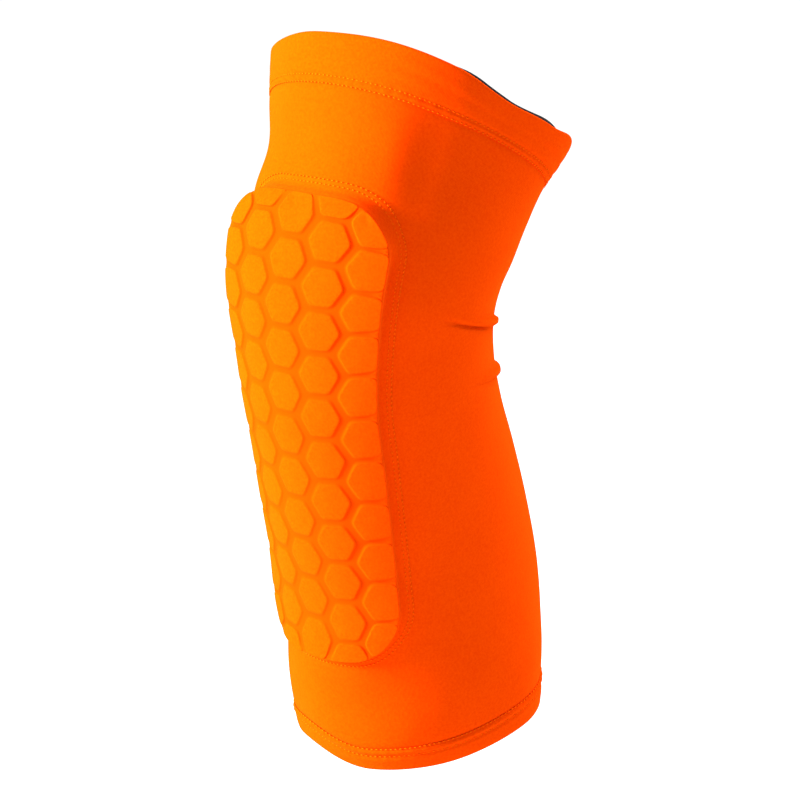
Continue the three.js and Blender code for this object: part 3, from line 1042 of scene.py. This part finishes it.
def grip_material(colours):
    """Dark rubber with a fine grain."""
    material, shader, coordinates = new_material("grip_rubber", {"Specular IOR Level": 0.35})
    place = Value(coordinates.outputs["Object"])
    grain = place.noise(1800, 2)
    patches = place.noise(60, 2)
    tone = grain * 0.5 + patches * 0.5
    plug(shader, {
        "Base Color": tone.mixed(shaded(colours.grip, 0.7), shaded(colours.grip, 1.5)),
        "Roughness": 0.5 + grain * 0.25,
        "Normal": grain.bump(0.3, 0.05 * MM),
    })
    return material


def floor_material(colours):
    """Pale studio paper."""
    constants = {"Specular IOR Level": 0.1, "Emission Color": (1, 1, 1, 1), "Emission Strength": FLOOR_GLOW}
    material, shader, coordinates = new_material("studio_floor", constants)
    place = Value(coordinates.outputs["Object"])
    paper = place.noise(40, 3)
    plug(shader, {
        "Base Color": paper.mixed(shaded(colours.floor, 0.99), shaded(colours.floor, 1.01)),
        "Roughness": 0.85 + paper * 0.1,
    })
    return material


# The stage


def aimed(name, data, azimuth, elevation, distance):
    """An object that faces the target from an azimuth, an elevation and a distance."""
    turn = math.radians(azimuth)
    rise = math.radians(elevation)
    out = Vector((math.sin(turn) * math.cos(rise), -math.cos(turn) * math.cos(rise), math.sin(rise)))
    holder = bpy.data.objects.new(name, data)
    bpy.context.scene.collection.objects.link(holder)
    holder.location = TARGET + out * distance
    holder.rotation_mode = "QUATERNION"
    holder.rotation_quaternion = out.to_track_quat("Z", "Y")
    return holder


def add_lights():
    """The soft round studio lights."""
    for name, (azimuth, elevation, distance, size, power) in LIGHTS.items():
        light = bpy.data.lights.new(name, "AREA")
        light.shape = "DISK"
        light.size = size
        light.energy = power
        aimed(name, light, azimuth, elevation, distance)


def add_camera():
    """The camera at the photograph's angle."""
    camera = bpy.data.cameras.new("camera")
    camera.sensor_width = 36
    camera.lens = CAMERA_LENS
    bpy.context.scene.camera = aimed("camera", camera, *CAMERA_VIEW)


def add_floor(colours):
    """A wide pale floor below the sleeve."""
    bm = bmesh.new()
    below = Matrix.Translation((0, 0, CAD_BOX[0].z - FLOOR_DROP))
    bmesh.ops.create_grid(bm, x_segments=8, y_segments=8, size=FLOOR_REACH, matrix=below)
    mesh = mesh_of(bm, "floor")
    mesh.materials.append(floor_material(colours))
    floor = bpy.data.objects.new("floor", mesh)
    bpy.context.scene.collection.objects.link(floor)


def add_world():
    """Even white light from all round."""
    world = bpy.data.worlds.new("studio")
    world.use_nodes = True
    background = world.node_tree.nodes["Background"]
    background.inputs["Color"].default_value = (1, 1, 1, 1)
    background.inputs["Strength"].default_value = WORLD_STRENGTH
    bpy.context.scene.world = world


# Operators, panel and registration


class KNEEPAD_OT_sleeve(bpy.types.Operator):
    """Make the knitted sleeve"""

    bl_idname = "kneepad.sleeve"
    bl_label = "Sleeve"

    def execute(self, context):
        sleeve_piece(context.scene.knee_pad_sizes, context.scene.knee_pad_colours)
        return {"FINISHED"}


class KNEEPAD_OT_hems(bpy.types.Operator):
    """Make the folded hems at the thigh and the shin"""

    bl_idname = "kneepad.hems"
    bl_label = "Hems"

    def execute(self, context):
        sizes = context.scene.knee_pad_sizes
        colours = context.scene.knee_pad_colours
        hem_piece(sizes, colours, "top_hem_cloth", sizes.thigh_hem, True, THIGH_ROWS, THIGH_RIDGE)
        hem_piece(sizes, colours, "bottom_hem_cloth", sizes.shin_hem, False, SHIN_ROWS, SHIN_RIDGE)
        return {"FINISHED"}


class KNEEPAD_OT_grip(bpy.types.Operator):
    """Make the grip strip inside the thigh hem"""

    bl_idname = "kneepad.grip"
    bl_label = "Grip strip"

    def execute(self, context):
        grip_piece(context.scene.knee_pad_sizes, context.scene.knee_pad_colours)
        return {"FINISHED"}


class KNEEPAD_OT_pad(bpy.types.Operator):
    """Make the honeycomb pad"""

    bl_idname = "kneepad.pad"
    bl_label = "Honeycomb pad"

    def execute(self, context):
        pad_piece(context.scene.knee_pad_sizes, context.scene.knee_pad_colours)
        return {"FINISHED"}


class KNEEPAD_OT_stitches(bpy.types.Operator):
    bl_idname = "kneepad.stitches"
    bl_label = "Stitches"

    def execute(self, context):
        sizes = context.scene.knee_pad_sizes
        stitch_pieces(sizes, context.scene.knee_pad_colours)
        return {"FINISHED"}


class KNEEPAD_OT_stage(bpy.types.Operator):
    """Set up the floor, the lights and the camera"""

    bl_idname = "kneepad.stage"
    bl_label = "Stage"

    def execute(self, context):
        context.scene.view_settings.view_transform = "Standard"
        add_world()
        add_floor(context.scene.knee_pad_colours)
        add_lights()
        add_camera()
        return {"FINISHED"}


class KNEEPAD_PT_sidebar(bpy.types.Panel):
    """Lists the knee pad's sizes, colours and makers"""

    bl_label = "Knee pad"
    bl_idname = "KNEEPAD_PT_sidebar"
    bl_space_type = "VIEW_3D"
    bl_region_type = "UI"
    bl_category = "Knee pad"

    def draw(self, context):
        layout = self.layout
        for maker in MAKERS:
            layout.operator(maker.bl_idname)
        for group in (context.scene.knee_pad_sizes, context.scene.knee_pad_colours):
            box = layout.box()
            for name in group.__annotations__:
                box.prop(group, name)


MAKERS = (
    KNEEPAD_OT_sleeve,
    KNEEPAD_OT_hems,
    KNEEPAD_OT_grip,
    KNEEPAD_OT_pad,
    KNEEPAD_OT_stitches,
    KNEEPAD_OT_stage,
)
CLASSES = (KneePadSizes, KneePadColours, *MAKERS, KNEEPAD_PT_sidebar)


def register():
    """Adds the classes and the scene's settings."""
    for each in CLASSES:
        bpy.utils.register_class(each)
    bpy.types.Scene.knee_pad_sizes = bpy.props.PointerProperty(type=KneePadSizes)
    bpy.types.Scene.knee_pad_colours = bpy.props.PointerProperty(type=KneePadColours)


def unregister():
    """Removes what register added."""
    del bpy.types.Scene.knee_pad_colours
    del bpy.types.Scene.knee_pad_sizes
    for each in reversed(CLASSES):
        bpy.utils.unregister_class(each)


def main():
    """Makes the pieces and the stage in order."""
    register()
    bpy.ops.kneepad.sleeve()
    bpy.ops.kneepad.hems()
    bpy.ops.kneepad.grip()
    bpy.ops.kneepad.pad()
    bpy.ops.kneepad.stitches()
    bpy.ops.kneepad.stage()


if __name__ == "__main__":
    main()
